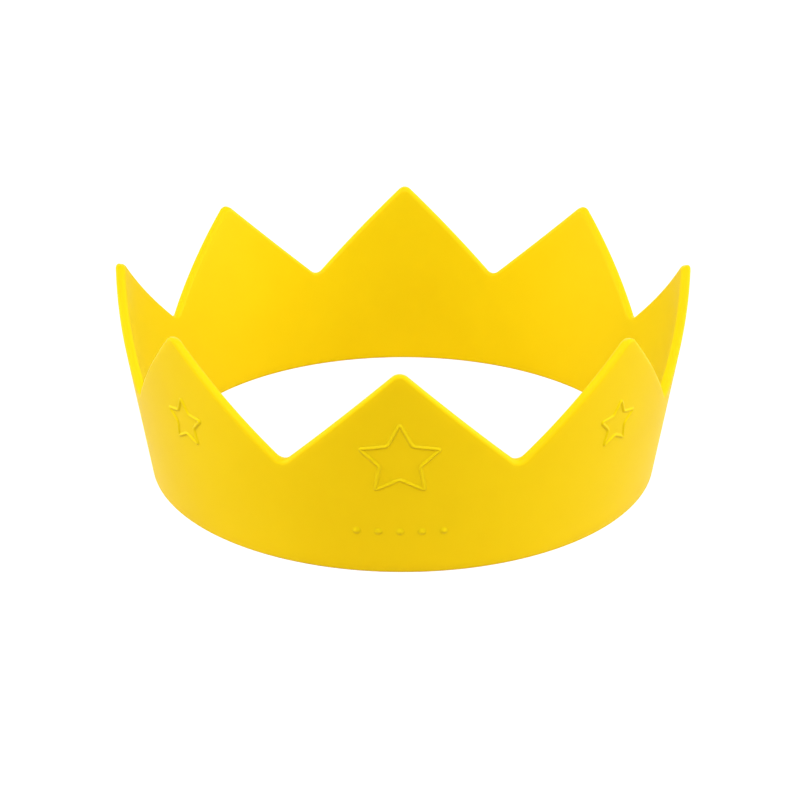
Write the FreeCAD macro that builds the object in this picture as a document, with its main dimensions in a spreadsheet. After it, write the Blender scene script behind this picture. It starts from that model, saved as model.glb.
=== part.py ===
import FreeCAD, Part
import math
import os

import Sketcher

# Party crown, moulded in one piece in soft silicone: a round band that flares
# outward and rises into eight points, with thin raised lines on the outside of
# the three front ones. Millimetres, +Z up, the origin at the middle of the base,
# and one of the points at the front, towards -Y.

V = FreeCAD.Vector
NEAR = 1e-3     # two measures closer than this are the same place, mm
SAMPLES = 5     # places looked at along an edge to tell where it lies

doc = FreeCAD.newDocument("party_crown")

# Driving dimensions, in millimetres and degrees
sheet = doc.addObject("Spreadsheet::Sheet", "dimensions")
SIZES = [
    ("base_radius", 81.0),          # outside of the band where it stands
    ("wall", 3.0),                  # thickness of the band, measured level
    ("flare", 7.7),                 # lean of the wall away from plumb, an angle
    ("point_count", 8),             # points round the rim
    ("point_height", 64.0),         # where the two sides of a point would meet
    ("notch_height", 32.0),         # where the two sides of a notch would meet
    ("point_round", 3.0),           # radius at the top of a point
    ("notch_round", 3.0),           # radius at the bottom of a notch
    ("rim_flat", 0.6),              # what the rounding leaves flat along the zigzag rim
    ("base_round", 0.6),            # radius of the edges that it stands on
    ("line_width", 0.9),            # width of the raised lines
    ("line_relief", 0.4),           # how far the raised lines stand out from the wall
    ("line_root", 0.5),             # how deep in the wall they start
    ("large_star", 12.5),           # middle to tip of the star on the front point
    ("small_star", 8.5),            # middle to tip of the stars on the points beside it
    ("star_waist", 0.5),            # a star's inner corners, as a share of its reach
    ("star_level", 37.0),           # height of the stars' middles
    ("dot_radius", 1.1),            # radius of the dots under the front star
    ("dot_gap", 6.0),               # from one dot to the next
    ("dot_level", 14.0),            # height of the dots
    ("cutter_margin", 4.0),         # how far the cutters run past the wall
]
for row, (alias, value) in enumerate(SIZES, start=1):
    sheet.set("A%d" % row, alias)
    sheet.set("B%d" % row, str(value))
    sheet.setAlias("B%d" % row, alias)
doc.recompute()


def size(alias):
    """A driving dimension as a plain number."""
    return float(getattr(sheet, alias))


# Formulas that more than one feature follows
LEAN = "tan(dimensions.flare * 1 deg)"
QUARTER_STEP = "tan(90 deg / dimensions.point_count)"
BAND_TOP = "(dimensions.point_height + dimensions.cutter_margin / 2)"
CUTTER_TOP = "(dimensions.point_height + dimensions.cutter_margin)"
MIDDLE = "(dimensions.point_height + dimensions.notch_height) / 2"
MIDDLE_RADIUS = "(dimensions.base_radius + %s * %s)" % (MIDDLE, LEAN)
RISE = "(dimensions.point_height - dimensions.notch_height)"
SLOPE = "(%s / (2 * %s * %s))" % (RISE, MIDDLE_RADIUS, QUARTER_STEP)
PAST_WALL = "(dimensions.base_radius + %s * %s + dimensions.cutter_margin)" % (BAND_TOP, LEAN)


def origin_feature(body, role):
    """The origin plane or axis of a body that has this role."""
    return next(feature for feature in body.Origin.OriginFeatures if feature.Role == role)


def upright_sketch(body, name, forward="0"):
    """An empty sketch on a body's XZ plane, moved forward along -Y by a formula."""
    sketch = body.newObject("Sketcher::SketchObject", name)
    sketch.AttachmentSupport = [(origin_feature(body, "XZ_Plane"), "")]
    sketch.MapMode = "FlatFace"
    sketch.setExpression("AttachmentOffset.Base.z", forward)
    return sketch


def draw_outline(sketch, rough):
    """Straight lines through rough corners, joined end to end, for formulas to place."""
    first = sketch.GeometryCount
    for i, corner in enumerate(rough):
        following = rough[(i + 1) % len(rough)]
        sketch.addGeometry(Part.LineSegment(V(*corner, 0), V(*following, 0)), False)
    for i in range(len(rough)):
        following = (i + 1) % len(rough)
        sketch.addConstraint(Sketcher.Constraint("Coincident", first + i, 2, first + following, 1))
    return first


def hold(sketch, constraint, formula):
    """Add a constraint whose value follows a formula."""
    index = sketch.addConstraint(constraint)
    sketch.setExpression("Constraints[%d]" % index, formula)


def measure(sketch, kind, corner, formula):
    """Hold a corner, where its line starts, at a formula measured from the sketch's origin."""
    start = sketch.Geometry[corner].StartPoint
    now = start.x if kind == "DistanceX" else start.y
    hold(sketch, Sketcher.Constraint(kind, -1, 1, corner, 1, now), formula)


def turned_strip(body, name, outside, inside):
    """A leaning strip between two radii at the base, turned once round a body's axis.

    The turn starts a quarter step round, halfway down the side of a point.
    """
    section = upright_sketch(body, name + "_section")
    section.AttachmentOffset = FreeCAD.Placement(V(0, 0, 0), FreeCAD.Rotation(V(0, 1, 0), 10))
    section.setExpression("AttachmentOffset.Rotation.Angle", "90 deg / dimensions.point_count")
    draw_outline(section, [(80, 0), (90, 70), (87, 70), (77, 0)])
    corners = [
        (outside, "0"),
        ("%s + %s * %s" % (outside, BAND_TOP, LEAN), BAND_TOP),
        ("%s + %s * %s" % (inside, BAND_TOP, LEAN), BAND_TOP),
        (inside, "0"),
    ]
    for corner, (across, up) in enumerate(corners):
        measure(section, "DistanceX", corner, across)
        measure(section, "DistanceY", corner, up)
    turn = body.newObject("PartDesign::Revolution", name)
    turn.Profile = section
    turn.ReferenceAxis = (section, ["V_Axis"])
    turn.Angle = 360.0
    doc.recompute()
    return turn


# The band: the wall, a little taller than the points, which the notches then
# cut free
moulding = doc.addObject("PartDesign::Body", "moulding")
turned_strip(moulding, "band", "dimensions.base_radius", "dimensions.base_radius - dimensions.wall")

# One notch, at the front, cut by a V with two flat sides. Each side lies along
# the radius through its own middle, a quarter step round from the notch, so
# that the rim stays square to the wall.
CUTTER_ENDS = {
    "notch_near_axis": "((dimensions.base_radius - dimensions.wall) / 2)",
    "notch_past_wall": PAST_WALL,
}
cutter_outlines = []
for name, forward in CUTTER_ENDS.items():
    outline = upright_sketch(moulding, name, forward)
    draw_outline(outline, [(0, 30), (40, 70), (-40, 70)])
    outline.addConstraint(Sketcher.Constraint("PointOnObject", 0, 1, -2))
    outline.addConstraint(Sketcher.Constraint("Symmetric", 1, 1, 1, 2, -2))
    measure(outline, "DistanceY", 0, "%s - %s * %s * %s" % (MIDDLE, SLOPE, forward, QUARTER_STEP))
    half_width = "%s * %s + (%s - %s) / %s" % (forward, QUARTER_STEP, CUTTER_TOP, MIDDLE, SLOPE)
    measure(outline, "DistanceX", 1, half_width)
    measure(outline, "DistanceY", 1, CUTTER_TOP)
    cutter_outlines.append(outline)
doc.recompute()
notch = moulding.newObject("PartDesign::SubtractiveLoft", "notch")
notch.Profile = cutter_outlines[0]
notch.Sections = cutter_outlines[1:]
notch.Ruled = True
doc.recompute()

# The same notch all round the rim, one between each two points
notches = moulding.newObject("PartDesign::PolarPattern", "notches")
notches.Originals = [notch]
notches.Axis = (origin_feature(moulding, "Z_Axis"), [""])
notches.Angle = 360.0
notches.setExpression("Occurrences", "dimensions.point_count")
moulding.Tip = notches
doc.recompute()


def beyond_outer_face(point):
    """How far a place stands out from the outer face of the band, level with it."""
    lean = math.tan(math.radians(size("flare")))
    return math.hypot(point.x, point.y) - size("base_radius") - point.z * lean


def heights(edge):
    """Lowest and highest place looked at along an edge."""
    levels = [point.z for point in edge.discretize(SAMPLES)]
    return min(levels), max(levels)


def along_a_face(edge):
    """True for an edge that keeps to the inner or to the outer face of the wall."""
    stands_out = [beyond_outer_face(point) for point in edge.discretize(SAMPLES)]
    return max(stands_out) - min(stands_out) < NEAR


def across_the_wall(edge):
    """True for an edge that runs from the inner face of the wall to the outer one."""
    inner, outer = sorted(beyond_outer_face(end) for end in edge.discretize(2))
    return abs(outer) < NEAR and abs(inner + size("wall")) < NEAR


def is_ridge(edge):
    """True at the top of a point, where its two sides meet."""
    halfway = (size("point_height") + size("notch_height")) / 2
    return across_the_wall(edge) and heights(edge)[0] > halfway


def is_crease(edge):
    """True at the bottom of a notch, where its two sides meet."""
    halfway = (size("point_height") + size("notch_height")) / 2
    return across_the_wall(edge) and NEAR < heights(edge)[0] < halfway


def is_rim(edge):
    """True along the zigzag, on either face of the wall."""
    return along_a_face(edge) and heights(edge)[0] > NEAR


def is_base(edge):
    """True for the two round edges that the moulding stands on."""
    return along_a_face(edge) and heights(edge)[1] < NEAR


def round_edges(before, name, wanted, radius):
    """A fillet on the wanted edges of the feature before it, with its radius from a formula."""
    fillet = moulding.newObject("PartDesign::Fillet", name)
    edges = ["Edge%d" % i for i, edge in enumerate(before.Shape.Edges, start=1) if wanted(edge)]
    fillet.Base = (before, edges)
    fillet.setExpression("Radius", radius)
    moulding.Tip = fillet
    doc.recompute()
    return fillet


# Nothing on it is sharp. First the corners of the zigzag are rounded, across the
# wall, then the rim on both its edges, and last the two edges of the base.
RIM_ROUND = "(dimensions.wall - dimensions.rim_flat) / 2"
round_points = round_edges(notches, "round_points", is_ridge, "dimensions.point_round")
round_notches = round_edges(round_points, "round_notches", is_crease, "dimensions.notch_round")
round_rim = round_edges(round_notches, "round_rim", is_rim, RIM_ROUND)
round_base = round_edges(round_rim, "round_base", is_base, "dimensions.base_round")

# Half a step of turn brings a point, not a notch, to the front
moulding.Placement.Rotation.Axis = V(0, 0, 1)
moulding.setExpression("Placement.Rotation.Angle", "180 deg / dimensions.point_count")
doc.recompute()

# The skin: the thin layer round the outside that the raised lines are cut from,
# so that they follow the wall
skin = doc.addObject("PartDesign::Body", "skin")
turned_strip(skin, "layer", "dimensions.base_radius + dimensions.line_relief",
             "dimensions.base_radius - dimensions.line_root")

STAR_TIPS = 5
FRONT_DOTS = 5
HALF_TIP = "(180 deg / %d)" % STAR_TIPS
WAIST = "dimensions.star_waist"
# How far a star's straight sides pass from its middle, as a share of its reach
SIDE_SHARE = "({0} * sin({1}) / sqrt(1 + {0} ^ 2 - 2 * {0} * cos({1})))".format(WAIST, HALF_TIP)


def draw_star(sketch, reach, rough):
    """A star outline, drawn with a rough reach and then held at a formula for its true one."""
    corners = []
    for i in range(2 * STAR_TIPS):
        far = rough if i % 2 == 0 else rough * size("star_waist")
        turn = math.pi * i / STAR_TIPS
        corners.append((far * math.sin(turn), size("star_level") + far * math.cos(turn)))
    first = draw_outline(sketch, corners)
    for i in range(2 * STAR_TIPS):
        far = reach if i % 2 == 0 else "%s * %s" % (reach, WAIST)
        measure(sketch, "DistanceX", first + i, "%s * sin(%d * %s)" % (far, i, HALF_TIP))
        measure(sketch, "DistanceY", first + i, "dimensions.star_level + %s * cos(%d * %s)" % (far, i, HALF_TIP))


def star_line(sketch, alias):
    """The raised line of a star: its outline, and the same star one line width further in."""
    draw_star(sketch, "dimensions.%s" % alias, size(alias))
    further_in = "(dimensions.%s - dimensions.line_width / %s)" % (alias, SIDE_SHARE)
    draw_star(sketch, further_in, size(alias) - 2 * size("line_width"))


def dot(sketch, place):
    """One dot of a level row, so many gaps to the right of the row's middle."""
    middle = V(place * size("dot_gap"), size("dot_level"), 0)
    circle = sketch.addGeometry(Part.Circle(middle, V(0, 0, 1), size("dot_radius")), False)
    across = Sketcher.Constraint("DistanceX", -1, 1, circle, 3, middle.x)
    hold(sketch, across, "%g * dimensions.dot_gap" % place)
    up = Sketcher.Constraint("DistanceY", -1, 1, circle, 3, middle.y)
    hold(sketch, up, "dimensions.dot_level")
    radius = Sketcher.Constraint("Radius", circle, size("dot_radius"))
    hold(sketch, radius, "dimensions.dot_radius")


def raise_from_wall(name, draw, what, steps):
    """What a sketch draws, as a low relief on the wall, so many points round from the front."""
    stamp = doc.addObject("PartDesign::Body", name + "_stamp")
    outline = upright_sketch(stamp, name + "_outline")
    draw(outline, what)
    pad = stamp.newObject("PartDesign::Pad", name + "_pad")
    pad.Profile = outline
    pad.setExpression("Length", PAST_WALL)
    stamp.Placement.Rotation.Axis = V(0, 0, 1)
    stamp.setExpression("Placement.Rotation.Angle", "%d * 360 deg / dimensions.point_count" % steps)
    relief = doc.addObject("Part::Common", name)
    relief.Base = stamp
    relief.Tool = skin
    doc.recompute()
    return relief


# The raised lines: a large star on the front point over a row of dots, and a
# small star on the point at each side of it
reliefs = [
    raise_from_wall("front_star", star_line, "large_star", 0),
    raise_from_wall("right_star", star_line, "small_star", 1),
    raise_from_wall("left_star", star_line, "small_star", -1),
]
for i in range(FRONT_DOTS):
    reliefs.append(raise_from_wall("front_dot_%d" % (i + 1), dot, i - (FRONT_DOTS - 1) / 2, 0))

# All of it is one moulding
crown = doc.addObject("Part::MultiFuse", "crown")
crown.Shapes = [moulding] + reliefs
doc.recompute()

for item in doc.Objects:
    if "Invalid" in item.State or "Error" in item.State:
        raise RuntimeError("%s failed" % item.Label)
if crown.Shape.isNull() or not crown.Shape.isValid():
    raise RuntimeError("crown is not a valid solid")

os.makedirs("parts", exist_ok=True)
crown.Shape.exportStep("parts/crown.step")
print("crown: %d solid, %.0f mm3" % (len(crown.Shape.Solids), crown.Shape.Volume))
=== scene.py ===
import math

import bmesh
import bpy
from mathutils import Matrix, Vector


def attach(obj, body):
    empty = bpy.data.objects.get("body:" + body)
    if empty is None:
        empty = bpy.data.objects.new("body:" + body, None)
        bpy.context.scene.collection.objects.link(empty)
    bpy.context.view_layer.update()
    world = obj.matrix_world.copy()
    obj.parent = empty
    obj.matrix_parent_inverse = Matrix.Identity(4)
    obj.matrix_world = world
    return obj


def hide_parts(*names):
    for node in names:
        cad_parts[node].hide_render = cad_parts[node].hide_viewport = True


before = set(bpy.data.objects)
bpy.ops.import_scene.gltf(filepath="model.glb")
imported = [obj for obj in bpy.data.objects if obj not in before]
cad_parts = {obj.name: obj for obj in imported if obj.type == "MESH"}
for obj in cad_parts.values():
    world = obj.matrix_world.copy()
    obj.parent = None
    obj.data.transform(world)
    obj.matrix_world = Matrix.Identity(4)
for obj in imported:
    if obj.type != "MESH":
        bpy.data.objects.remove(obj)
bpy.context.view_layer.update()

# The crown itself: a band with eight points, moulded in one piece in soft
# yellow silicone, 3 mm thick. It comes out of its mould with a satin skin and
# with every edge rounded over.
MM = 0.001
BASE_RADIUS = 81.0 * MM
WALL = 3.0 * MM
FLARE = math.radians(7.7)
POINTS = 8
POINT_HEIGHT = 64.0 * MM
NOTCH_HEIGHT = 32.0 * MM
POINT_ROUND = 3.0 * MM
NOTCH_ROUND = 3.0 * MM
RIM_ROUND = 1.2 * MM
BASE_ROUND = 0.6 * MM

# How finely its surface is drawn: rows up each face, cuts round each edge and
# each corner, and passes that settle where the leaning wall meets the rim
OUTER_ROWS = 22
INNER_ROWS = 20
RIM_CUTS = 7
BASE_CUTS = 4
CORNER_CUTS = 10
SIDE_CUTS = 24
PASSES = 12

STEP = 2 * math.pi / POINTS
QUARTER = STEP / 4
HALFWAY = (POINT_HEIGHT + NOTCH_HEIGHT) / 2
HALFWAY_RADIUS = BASE_RADIUS + HALFWAY * math.tan(FLARE)
SLOPE = (POINT_HEIGHT - NOTCH_HEIGHT) / (2 * HALFWAY_RADIUS * math.tan(QUARTER))
HALF_CORNER = math.atan(1 / SLOPE)


def rim_height(turn, radius):
    """Height of the zigzag, so far round from the front point, before its edges are rounded."""
    from_point = abs((turn + STEP / 2) % STEP - STEP / 2)
    if from_point < QUARTER:
        across = radius * math.sin(from_point)
        along = radius * math.cos(from_point)
        sharp = HALFWAY + SLOPE * along * math.tan(QUARTER)
        if across < POINT_ROUND * math.cos(HALF_CORNER):
            centre = sharp - POINT_ROUND / math.sin(HALF_CORNER)
            return centre + math.sqrt(POINT_ROUND ** 2 - across ** 2)
        return sharp - SLOPE * across
    across = radius * math.sin(STEP / 2 - from_point)
    along = radius * math.cos(STEP / 2 - from_point)
    sharp = HALFWAY - SLOPE * along * math.tan(QUARTER)
    if across < NOTCH_ROUND * math.cos(HALF_CORNER):
        centre = sharp + NOTCH_ROUND / math.sin(HALF_CORNER)
        return centre - math.sqrt(NOTCH_ROUND ** 2 - across ** 2)
    return sharp + SLOPE * across


def wall_top(turn, depth):
    """Height of the rim so deep in from the outer face, on the wall that leans outward."""
    height = HALFWAY
    for _ in range(PASSES):
        height = rim_height(turn, BASE_RADIUS - depth + height * math.tan(FLARE))
    return height


def rim_stretch(turn):
    """How much longer a plumb measure is than one square to the rim, here."""
    reach = 0.002  # so far to each side, in radians
    rise = (wall_top(turn + reach, 0) - wall_top(turn - reach, 0)) / (2 * reach * HALFWAY_RADIUS)
    return math.sqrt(1 + rise ** 2)


def wall_section(turn):
    """The wall cut plumb, as (depth from the outer face, height): up, over the rim and down."""
    stretch = rim_stretch(turn)
    section = []
    outer_top = wall_top(turn, 0) - RIM_ROUND * stretch
    inner_top = wall_top(turn, WALL) - RIM_ROUND * stretch
    for i in range(BASE_CUTS + 1):
        corner = math.pi / 2 * i / BASE_CUTS
        section.append((BASE_ROUND * (1 - math.sin(corner)), BASE_ROUND * (1 - math.cos(corner))))
    for i in range(1, OUTER_ROWS):
        share = i / OUTER_ROWS
        section.append((0.0, BASE_ROUND + (outer_top - BASE_ROUND) * share))
    for i in range(RIM_CUTS + 1):
        corner = math.pi / 2 * i / RIM_CUTS
        depth = RIM_ROUND * (1 - math.cos(corner))
        fall = RIM_ROUND * stretch * (1 - math.sin(corner))
        section.append((depth, wall_top(turn, depth) - fall))
    for i in range(RIM_CUTS + 1):
        corner = math.pi / 2 * (1 - i / RIM_CUTS)
        depth = WALL - RIM_ROUND * (1 - math.cos(corner))
        fall = RIM_ROUND * stretch * (1 - math.sin(corner))
        section.append((depth, wall_top(turn, depth) - fall))
    for i in range(1, INNER_ROWS):
        share = 1 - i / INNER_ROWS
        section.append((WALL, BASE_ROUND + (inner_top - BASE_ROUND) * share))
    for i in range(BASE_CUTS + 1):
        corner = math.pi / 2 * (1 - i / BASE_CUTS)
        depth = WALL - BASE_ROUND * (1 - math.sin(corner))
        section.append((depth, BASE_ROUND * (1 - math.cos(corner))))
    return section


def crown_turns():
    """Places round the rim to cut the wall at, closer at the corners than along the sides."""
    corner = POINT_ROUND / HALFWAY_RADIUS
    hollow = NOTCH_ROUND / HALFWAY_RADIUS
    half = STEP / 2
    one_side = []
    for cut in range(CORNER_CUTS):
        one_side.append(corner * cut / CORNER_CUTS)
    for cut in range(SIDE_CUTS):
        one_side.append(corner + (half - hollow - corner) * cut / SIDE_CUTS)
    for cut in range(CORNER_CUTS):
        one_side.append(half - hollow + hollow * cut / CORNER_CUTS)
    turns = []
    for point in range(POINTS):
        middle = point * STEP
        turns += [middle + side for side in one_side]
        turns += [middle + STEP - side for side in [half] + one_side[:0:-1]]
    return turns


def on_wall(turn, depth, height):
    """The place so far round from the front, so deep in from the outer face and so high."""
    radius = BASE_RADIUS - depth + height * math.tan(FLARE)
    return Vector((radius * math.sin(turn), -radius * math.cos(turn), height))


def make_piece(name, vertices, faces):
    """A smooth-shaded mesh of the crown, riding with it."""
    mesh = bpy.data.meshes.new(name)
    mesh.from_pydata(vertices, [], faces)
    body = bmesh.new()
    body.from_mesh(mesh)
    bmesh.ops.recalc_face_normals(body, faces=body.faces)
    body.to_mesh(mesh)
    body.free()
    for face in mesh.polygons:
        face.use_smooth = True
    piece = bpy.data.objects.new(name, mesh)
    bpy.context.scene.collection.objects.link(piece)
    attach(piece, "root")
    return piece


def closed_grid(rings):
    """Faces over closed rings of equal length, the last ring joined to the first."""
    faces = []
    count = len(rings[0])
    for i, ring in enumerate(rings):
        following = rings[(i + 1) % len(rings)]
        for j in range(count):
            after = (j + 1) % count
            faces.append((ring[j], following[j], following[after], ring[after]))
    return faces


def silicone():
    """Yellow silicone: satin, a little light comes through it, and a fine tooth from the mould."""
    material = bpy.data.materials.new("yellow_silicone")
    material.use_nodes = True
    nodes = material.node_tree.nodes
    links = material.node_tree.links
    shader = nodes["Principled BSDF"]
    shader.inputs["Roughness"].default_value = 0.5
    shader.inputs["IOR"].default_value = 1.41
    shader.inputs["Specular IOR Level"].default_value = 0.1
    shader.inputs["Subsurface Weight"].default_value = 0.25
    shader.inputs["Subsurface Radius"].default_value = (0.8, 0.72, 0.2)
    shader.inputs["Subsurface Scale"].default_value = 0.003
    shader.inputs["Sheen Weight"].default_value = 0.03
    shader.inputs["Sheen Roughness"].default_value = 0.5
    place = nodes.new("ShaderNodeTexCoord")

    # Pigment: broad, very faint clouds in the colour
    clouds = nodes.new("ShaderNodeTexNoise")
    clouds.inputs["Scale"].default_value = 28.0
    clouds.inputs["Detail"].default_value = 3.0
    links.new(place.outputs["Object"], clouds.inputs["Vector"])
    pigment = nodes.new("ShaderNodeValToRGB")
    pigment.color_ramp.elements[0].position = 0.3
    pigment.color_ramp.elements[0].color = (0.820, 0.600, 0.001, 1)
    pigment.color_ramp.elements[1].position = 0.7
    pigment.color_ramp.elements[1].color = (0.845, 0.630, 0.002, 1)
    links.new(clouds.outputs["Fac"], pigment.inputs["Fac"])
    links.new(pigment.outputs["Color"], shader.inputs["Base Color"])

    # Mould tooth: fine grain, under a slow unevenness of the skin
    tooth = nodes.new("ShaderNodeTexNoise")
    tooth.inputs["Scale"].default_value = 1600.0
    tooth.inputs["Detail"].default_value = 4.0
    links.new(place.outputs["Object"], tooth.inputs["Vector"])
    swell = nodes.new("ShaderNodeTexNoise")
    swell.inputs["Scale"].default_value = 90.0
    swell.inputs["Detail"].default_value = 2.0
    links.new(place.outputs["Object"], swell.inputs["Vector"])
    slow = nodes.new("ShaderNodeBump")
    slow.inputs["Strength"].default_value = 0.25
    slow.inputs["Distance"].default_value = 0.0004
    links.new(swell.outputs["Fac"], slow.inputs["Height"])
    fine = nodes.new("ShaderNodeBump")
    fine.inputs["Strength"].default_value = 0.25
    fine.inputs["Distance"].default_value = 0.00005
    links.new(tooth.outputs["Fac"], fine.inputs["Height"])
    links.new(slow.outputs["Normal"], fine.inputs["Normal"])
    links.new(fine.outputs["Normal"], shader.inputs["Normal"])
    return material


vertices = []
rings = []
for turn in crown_turns():
    ring = []
    for depth, height in wall_section(turn):
        ring.append(len(vertices))
        vertices.append(on_wall(turn, depth, height))
    rings.append(ring)
crown = make_piece("crown_moulding", vertices, closed_grid(rings))
crown.data.materials.append(silicone())
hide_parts("crown")

# The raised lines: a large star on the front point over a row of dots, and a
# small star on the point at each side of it. They are cut into the mould, so
# they stand on the wall as soft ridges of the same silicone.
LINE_WIDTH = 0.9 * MM
LINE_RELIEF = 0.4 * MM
LINE_FOOT = 0.2 * MM
LINE_SINK = 0.2 * MM
LINE_DIP = 0.02 * MM
LINE_FULLNESS = 0.7
LARGE_STAR = 12.5 * MM
SMALL_STAR = 8.5 * MM
STAR_WAIST = 0.5
STAR_TIPS = 5
STAR_LEVEL = 37.0 * MM
STAR_CORNER = 0.9 * MM
DOT_RADIUS = 1.1 * MM
DOT_GAP = 6.0 * MM
DOT_LEVEL = 14.0 * MM
DOTS = 5

# How finely they are drawn: cuts across a line, round a star's corner and
# along its side, and round a dot and out from its middle
LINE_CUTS = 12
STAR_CORNER_CUTS = 6
STAR_SIDE_CUTS = 8
DOT_CUTS = 28
DOT_RINGS = 9


def outward():
    """Direction square to the outer face, on the front point."""
    return Vector((0, -math.cos(FLARE), -math.sin(FLARE)))


def stamped(across, height, steps, lift):
    """A place on the outer face, measured on a flat drawing of a point, lifted off the face."""
    radius = BASE_RADIUS + height * math.tan(FLARE)
    turn = math.asin(across / radius)
    spot = on_wall(turn, 0, height)
    spot += Matrix.Rotation(turn, 3, "Z") @ outward() * lift
    return Matrix.Rotation(steps * STEP, 3, "Z") @ spot


def star_path(reach):
    """Middle of a star's line, with its corners rounded, as (across, height)."""
    half = math.pi / STAR_TIPS
    side_length = math.sqrt(1 + STAR_WAIST ** 2 - 2 * STAR_WAIST * math.cos(half))
    side_share = STAR_WAIST * math.sin(half) / side_length
    middle_reach = reach - LINE_WIDTH / 2 / side_share
    corners = []
    for i in range(2 * STAR_TIPS):
        far = middle_reach * (1 if i % 2 == 0 else STAR_WAIST)
        corners.append(Vector((far * math.sin(i * half), STAR_LEVEL + far * math.cos(i * half))))
    path = []
    for i, corner in enumerate(corners):
        before = (corners[i - 1] - corner).normalized()
        after = (corners[(i + 1) % len(corners)] - corner).normalized()
        for k in range(STAR_CORNER_CUTS + 1):
            t = k / STAR_CORNER_CUTS
            path.append(corner + before * STAR_CORNER * (1 - t) ** 2 + after * STAR_CORNER * t ** 2)
        side = corners[(i + 1) % len(corners)] - corner
        length = side.length - 2 * STAR_CORNER
        for k in range(1, STAR_SIDE_CUTS):
            path.append(corner + after * (STAR_CORNER + length * k / STAR_SIDE_CUTS))
    return path


def hump(share):
    """How high a line or a dot stands, so far out from its middle (0) to its foot (1)."""
    swell = (1 + math.cos(math.pi * share)) / 2
    return LINE_RELIEF * swell ** LINE_FULLNESS - LINE_DIP


def ridge_section():
    """The ridge across, as (sideways, lift): a soft hump with its foot sunk in the wall."""
    reach = LINE_WIDTH / 2 + LINE_FOOT
    section = [(-reach, -LINE_SINK)]
    for k in range(LINE_CUTS + 1):
        side = -1 + 2 * k / LINE_CUTS
        section.append((side * reach, hump(side)))
    section.append((reach, -LINE_SINK))
    return section


def raise_star(name, reach, steps):
    """One star's ridge, swept round its line."""
    path = star_path(reach)
    vertices = []
    rings = []
    for i, spot in enumerate(path):
        along = (path[(i + 1) % len(path)] - path[i - 1]).normalized()
        side = Vector((along.y, -along.x))
        ring = []
        for sideways, lift in ridge_section():
            ring.append(len(vertices))
            place = spot + side * sideways
            vertices.append(stamped(place.x, place.y, steps, lift))
        rings.append(ring)
    star = make_piece(name, vertices, closed_grid(rings))
    star.data.materials.append(bpy.data.materials["yellow_silicone"])
    return star


raise_star("front_star", LARGE_STAR, 0)
raise_star("right_star", SMALL_STAR, 1)
raise_star("left_star", SMALL_STAR, -1)


def raise_dot(name, across):
    """One dot: a low dome whose edge is sunk in the wall."""
    foot = DOT_RADIUS + LINE_FOOT
    profile = [(foot, -LINE_SINK)]
    for k in range(DOT_RINGS):
        share = 1 - k / DOT_RINGS
        profile.append((foot * share, hump(share)))
    vertices = []
    faces = []
    for far, lift in profile:
        for j in range(DOT_CUTS):
            angle = 2 * math.pi * j / DOT_CUTS
            aside, up = far * math.cos(angle), far * math.sin(angle)
            vertices.append(stamped(across + aside, DOT_LEVEL + up, 0, lift))
    for row in range(len(profile) - 1):
        for j in range(DOT_CUTS):
            after = (j + 1) % DOT_CUTS
            low, high = row * DOT_CUTS, (row + 1) * DOT_CUTS
            faces.append((low + j, low + after, high + after, high + j))
    faces.append(tuple(range(DOT_CUTS)))
    faces.append(tuple(range((len(profile) - 1) * DOT_CUTS, len(profile) * DOT_CUTS)))
    dot = make_piece(name, vertices, faces)
    dot.data.materials.append(bpy.data.materials["yellow_silicone"])
    return dot


for i in range(DOTS):
    raise_dot("front_dot_%d" % (i + 1), (i - (DOTS - 1) / 2) * DOT_GAP)

# The studio: a plain pale sweep of matt paper under the crown, which keeps its
# soft shadow, a white background, and four large soft lamps round it.
FLOOR_SIZE = 4.0
PAPER_COLOUR = (0.58, 0.47, 0.38, 1)
PAPER_GLOW_COLOUR = (0.91, 1.0, 1.10, 1)
PAPER_GLOW = 0.70
SKY_LEVEL = 0.12
BACKDROP_LEVEL = 1.0
LAMP_AWAY = 3.0
LAMP_HEIGHT = 1.6
LAMP_AIM = Vector((0, 0, 0.03))


def seen_directly(nodes, links):
    """1 for what the camera sees, straight, mirrored or through something clear, and else 0."""
    rays = nodes.new("ShaderNodeLightPath")
    kinds = rays.outputs["Is Camera Ray"]
    for other in ("Is Glossy Ray", "Is Transmission Ray"):
        both = nodes.new("ShaderNodeMath")
        both.operation = "ADD"
        both.use_clamp = True
        links.new(kinds, both.inputs[0])
        links.new(rays.outputs[other], both.inputs[1])
        kinds = both.outputs["Value"]
    return kinds


def pale_paper():
    """Matt paper that the camera sees as white where no shadow falls."""
    material = bpy.data.materials.new("pale_floor")
    material.use_nodes = True
    nodes = material.node_tree.nodes
    links = material.node_tree.links
    shader = nodes["Principled BSDF"]
    shader.inputs["Base Color"].default_value = PAPER_COLOUR
    shader.inputs["Roughness"].default_value = 0.9
    shader.inputs["Specular IOR Level"].default_value = 0.1
    shader.inputs["Emission Color"].default_value = PAPER_GLOW_COLOUR
    glow = nodes.new("ShaderNodeMath")
    glow.operation = "MULTIPLY"
    glow.inputs[1].default_value = PAPER_GLOW
    links.new(seen_directly(nodes, links), glow.inputs[0])
    links.new(glow.outputs["Value"], shader.inputs["Emission Strength"])
    return material


bpy.ops.mesh.primitive_plane_add(size=FLOOR_SIZE, location=(0, 0, 0))
floor = bpy.context.object
floor.name = "studio_floor"
floor.data.materials.append(pale_paper())

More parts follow.
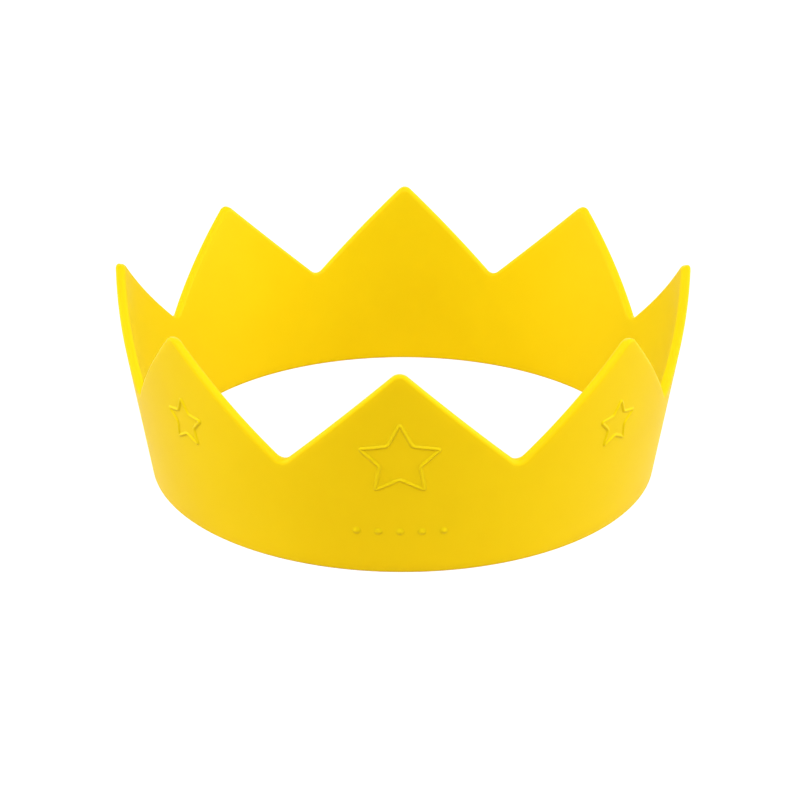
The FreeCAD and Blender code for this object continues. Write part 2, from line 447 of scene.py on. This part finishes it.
world = bpy.data.worlds.new("studio")
bpy.context.scene.world = world
world.use_nodes = True
nodes = world.node_tree.nodes
links = world.node_tree.links
nodes.clear()
sky = nodes.new("ShaderNodeBackground")
sky.inputs["Color"].default_value = (1, 1, 1, 1)
sky.inputs["Strength"].default_value = SKY_LEVEL
backdrop = nodes.new("ShaderNodeBackground")
backdrop.inputs["Color"].default_value = (1, 1, 1, 1)
backdrop.inputs["Strength"].default_value = BACKDROP_LEVEL
which = nodes.new("ShaderNodeMixShader")
out = nodes.new("ShaderNodeOutputWorld")
links.new(seen_directly(nodes, links), which.inputs["Fac"])
links.new(sky.outputs["Background"], which.inputs[1])
links.new(backdrop.outputs["Background"], which.inputs[2])
links.new(which.outputs["Shader"], out.inputs["Surface"])


def softbox(name, round_degrees, up_degrees, width, level):
    """A soft lamp, so far round from the front and so high, that lights white to this level."""
    turn, rise = math.radians(round_degrees), math.radians(up_degrees)
    out, up = LAMP_AWAY * math.cos(rise), LAMP_AWAY * math.sin(rise)
    place = Vector((out * math.sin(turn), -out * math.cos(turn), up))
    lamp = bpy.data.lights.new(name, "AREA")
    lamp.shape = "RECTANGLE"
    lamp.size = width
    lamp.size_y = LAMP_HEIGHT
    lamp.energy = level * (math.pi * LAMP_AWAY) ** 2
    holder = bpy.data.objects.new(name, lamp)
    bpy.context.scene.collection.objects.link(holder)
    holder.location = place
    holder.rotation_euler = (LAMP_AIM - place).to_track_quat("-Z", "Y").to_euler()


softbox("softbox_left", -92, 20, 1.6, 0.60)
softbox("softbox_right", 92, 20, 1.6, 0.68)
softbox("softbox_front", 0, 48, 2.0, 0.91)
softbox("softbox_behind", 180, 22, 2.0, 0.32)

# The camera, set so that the crown's outline comes as near as a round crown can
# to the photograph's: a little above the rim, facing the front point.
CAMERA_DISTANCE = 6.0 * BASE_RADIUS
CAMERA_ELEVATION = math.radians(22.553)
CAMERA_AIM_HEIGHT = 0.35 * BASE_RADIUS
CAMERA_DIP = math.radians(1.222)
CAMERA_PAN = math.radians(-0.112)
CAMERA_ROLL = math.radians(-0.065)
CAMERA_ROUND = math.radians(0.503)
FOCAL_PIXELS = 1516.5
PICTURE_PIXELS = 800.0
SENSOR = 36.0

camera_data = bpy.data.cameras.new("camera")
camera_data.sensor_fit = "HORIZONTAL"
camera_data.sensor_width = SENSOR
camera_data.lens = FOCAL_PIXELS / PICTURE_PIXELS * SENSOR
camera_data.clip_start = 0.01
camera = bpy.data.objects.new("camera", camera_data)
bpy.context.scene.collection.objects.link(camera)
place = Vector((0, -CAMERA_DISTANCE * math.cos(CAMERA_ELEVATION),
                CAMERA_AIM_HEIGHT + CAMERA_DISTANCE * math.sin(CAMERA_ELEVATION)))
tilt = CAMERA_ELEVATION + CAMERA_DIP
level_look = math.cos(tilt)
look = Vector((level_look * math.sin(CAMERA_PAN), level_look * math.cos(CAMERA_PAN), -math.sin(tilt)))
around = Matrix.Rotation(CAMERA_ROUND, 4, "Z")
turned = look.to_track_quat("-Z", "Y").to_matrix().to_4x4()
rolled = Matrix.Rotation(CAMERA_ROLL, 4, "Z")
camera.matrix_world = around @ Matrix.Translation(place) @ turned @ rolled
bpy.context.scene.camera = camera
bpy.context.scene.view_settings.view_transform = "Standard"
